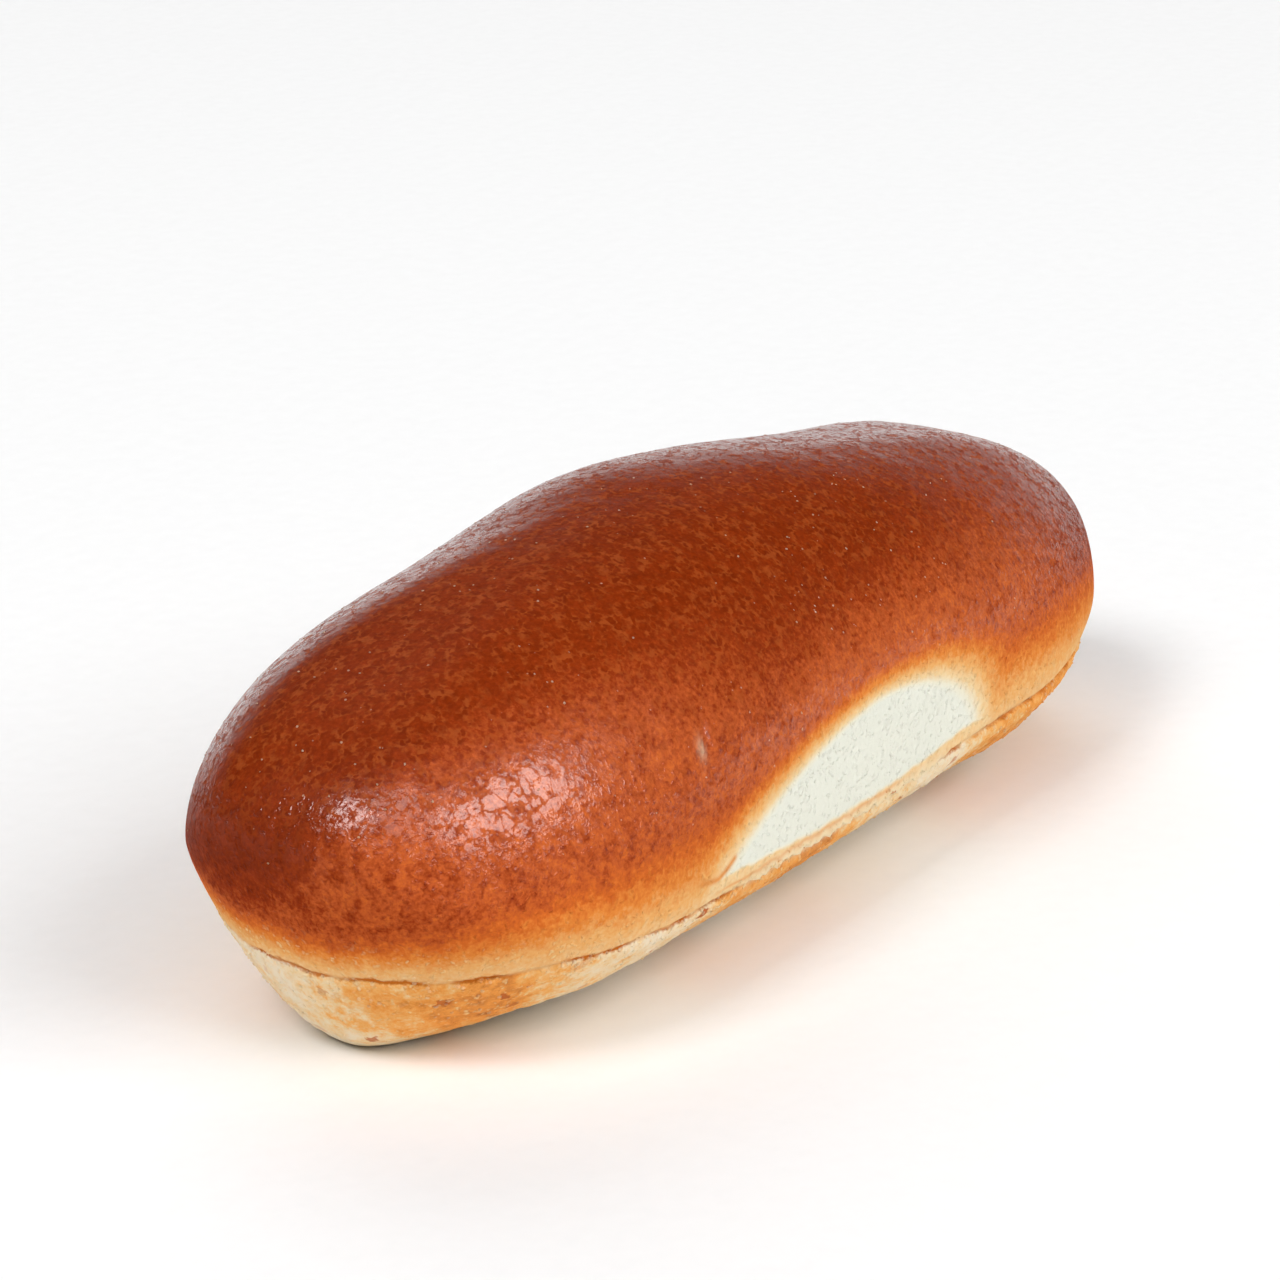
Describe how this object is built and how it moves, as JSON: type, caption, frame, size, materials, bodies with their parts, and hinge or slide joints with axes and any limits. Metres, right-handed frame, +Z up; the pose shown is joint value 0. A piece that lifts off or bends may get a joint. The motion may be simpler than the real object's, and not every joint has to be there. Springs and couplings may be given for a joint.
{
  "type": "bread roll",
  "caption": "Oblong glazed finger roll with a domed red-brown crown, a pale pressed side and a golden base under a crease.",
  "frame": {"origin": "under the middle of the roll, on the surface that it rests on: the bottom centre of its box", "axes": "+X along the roll's length, +Y away from the pressed side, +Z up"},
  "size_m": [0.15, 0.0584, 0.0469],
  "materials": {
    "crust": "egg-washed and baked: glossy red-brown crown, matte cream pressed side, rough golden base"
  },
  "bodies": {
    "root": {"roll": "crust"}
  },
  "joints": []
}
